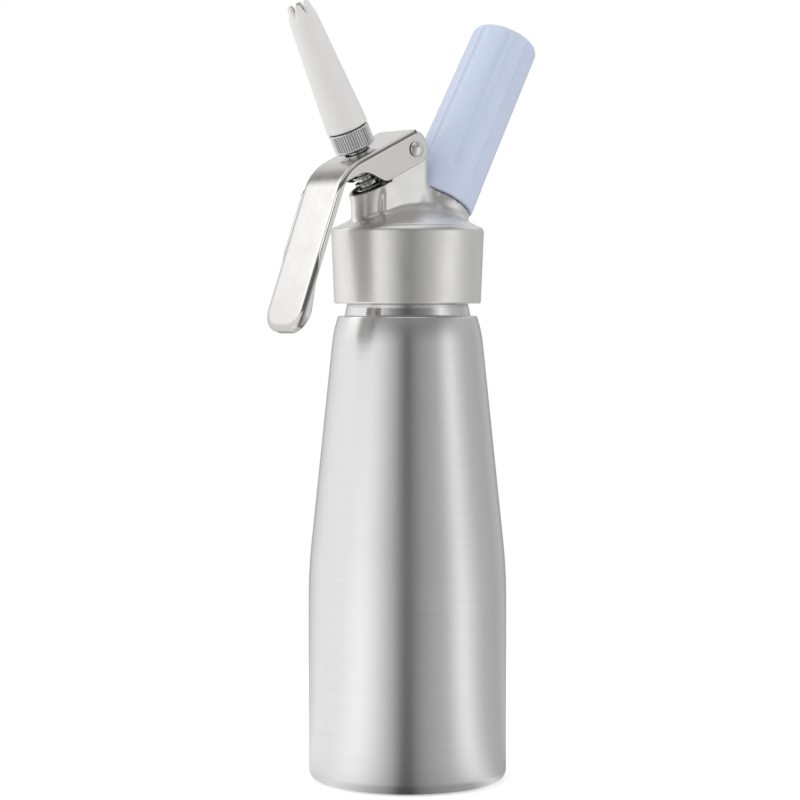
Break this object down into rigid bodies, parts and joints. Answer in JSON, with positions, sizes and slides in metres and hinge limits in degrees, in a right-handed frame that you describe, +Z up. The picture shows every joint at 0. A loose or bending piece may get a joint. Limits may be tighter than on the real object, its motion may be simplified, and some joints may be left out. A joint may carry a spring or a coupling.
{
  "type": "whipped cream dispenser",
  "caption": "Upright steel bottle with screw-on head, squeeze lever, tilted decorating tip and fluted holder for a gas cartridge.",
  "frame": {"origin": "centre of the bottle's flat base, on the surface it stands on", "axes": "+Z up along the bottle's axis; the lever and the tip lean to -X, the charger holder to +X; Y = 0 is the plane of symmetry"},
  "size_m": [0.1251, 0.08, 0.311],
  "materials": {
    "bottle_steel": "fine turned brushing",
    "head_metal": "satin, turned skirt and blasted casting",
    "lever_steel": "polished pressed steel",
    "pin_steel": "polished dome",
    "adapter_steel": "knurled and polished",
    "valve_steel": "turned",
    "spring_steel": "drawn wire",
    "tip_plastic": "white, fine matte",
    "holder_plastic": "pale blue, soft gloss",
    "zinc": "zinc plated",
    "black_rubber": "matte",
    "pale_silicone": "matte"
  },
  "bodies": {
    "bottle_body": {"bottle": "bottle_steel"},
    "gasket_ring": {"head_gasket": "pale_silicone"},
    "head_body": {"head": "head_metal", "lever_pin": "pin_steel", "spring_seat": "valve_steel", "valve_spring": "spring_steel", "charger_seal": "black_rubber", "piercing_pin": "valve_steel", "pin_retainer": "zinc", "check_valve": "black_rubber"},
    "lever_body": {"lever": "lever_steel"},
    "valve_body": {"valve_stem": "valve_steel", "valve_seal": "pale_silicone", "stem_oring_lower": "black_rubber", "stem_oring_upper": "black_rubber", "valve_collar": "valve_steel"},
    "stem_seal_body": {"stem_seal": "pale_silicone"},
    "adapter_body": {"nozzle_adapter": "adapter_steel"},
    "tip_seal_body": {"tip_seal": "pale_silicone"},
    "tip_body": {"nozzle_tip": "tip_plastic"},
    "cartridge_body": {"gas_charger": "zinc"},
    "holder_body": {"charger_holder": "holder_plastic", "holder_insert": "zinc"}
  },
  "joints": [
    {"name": "head_lift", "type": "slide", "parent": "bottle_body", "child": "gasket_ring", "axis": [0, 0, 1], "range_m": [0, 0.0101]},
    {"name": "head_unscrew", "type": "hinge", "parent": "gasket_ring", "child": "head_body", "pos_m": [0, 0, 0.21], "axis": [0, 0, 1], "range_deg": [0, 720]},
    {"name": "lever_squeeze", "type": "hinge", "parent": "head_body", "child": "lever_body", "pos_m": [-0.0051, 0, 0.2539], "axis": [0, -1, 0], "range_deg": [0, 9], "stiffness_Nm_per_rad": 3, "springref_deg": -11.46},
    {"name": "valve_travel", "type": "slide", "parent": "head_body", "child": "valve_body", "axis": [0.454, 0, -0.891], "range_m": [0, 0.0029], "deforming": ["valve_spring"]},
    {"name": "adapter_lift", "type": "slide", "parent": "valve_body", "child": "stem_seal_body", "axis": [-0.454, 0, 0.891], "range_m": [0, 0.00505]},
    {"name": "adapter_unscrew", "type": "hinge", "parent": "stem_seal_body", "child": "adapter_body", "pos_m": [-0.02577, 0, 0.25408], "axis": [-0.454, 0, 0.891], "range_deg": [0, 1800]},
    {"name": "tip_lift", "type": "slide", "parent": "adapter_body", "child": "tip_seal_body", "axis": [-0.454, 0, 0.891], "range_m": [0, 0.0071]},
    {"name": "tip_unscrew", "type": "hinge", "parent": "tip_seal_body", "child": "tip_body", "pos_m": [-0.02577, 0, 0.25408], "axis": [-0.454, 0, 0.891], "range_deg": [0, 1260]},
    {"name": "holder_lift", "type": "slide", "parent": "head_body", "child": "cartridge_body", "axis": [0.4726, 0, 0.8813], "range_m": [0, 0.0152]},
    {"name": "holder_unscrew", "type": "hinge", "parent": "cartridge_body", "child": "holder_body", "pos_m": [0.015, 0, 0.23397], "axis": [0.4726, 0, 0.8813], "range_deg": [0, 2700]}
  ],
  "couplings": [
    {"joint": "head_lift", "follows": "head_unscrew", "m_per_rad": 0.00079577},
    {"joint": "valve_travel", "follows": "lever_squeeze", "m_per_rad": 0.0181},
    {"joint": "adapter_lift", "follows": "adapter_unscrew", "m_per_rad": 0.00015915},
    {"joint": "tip_lift", "follows": "tip_unscrew", "m_per_rad": 0.00031831},
    {"joint": "holder_lift", "follows": "holder_unscrew", "m_per_rad": 0.00031831}
  ]
}
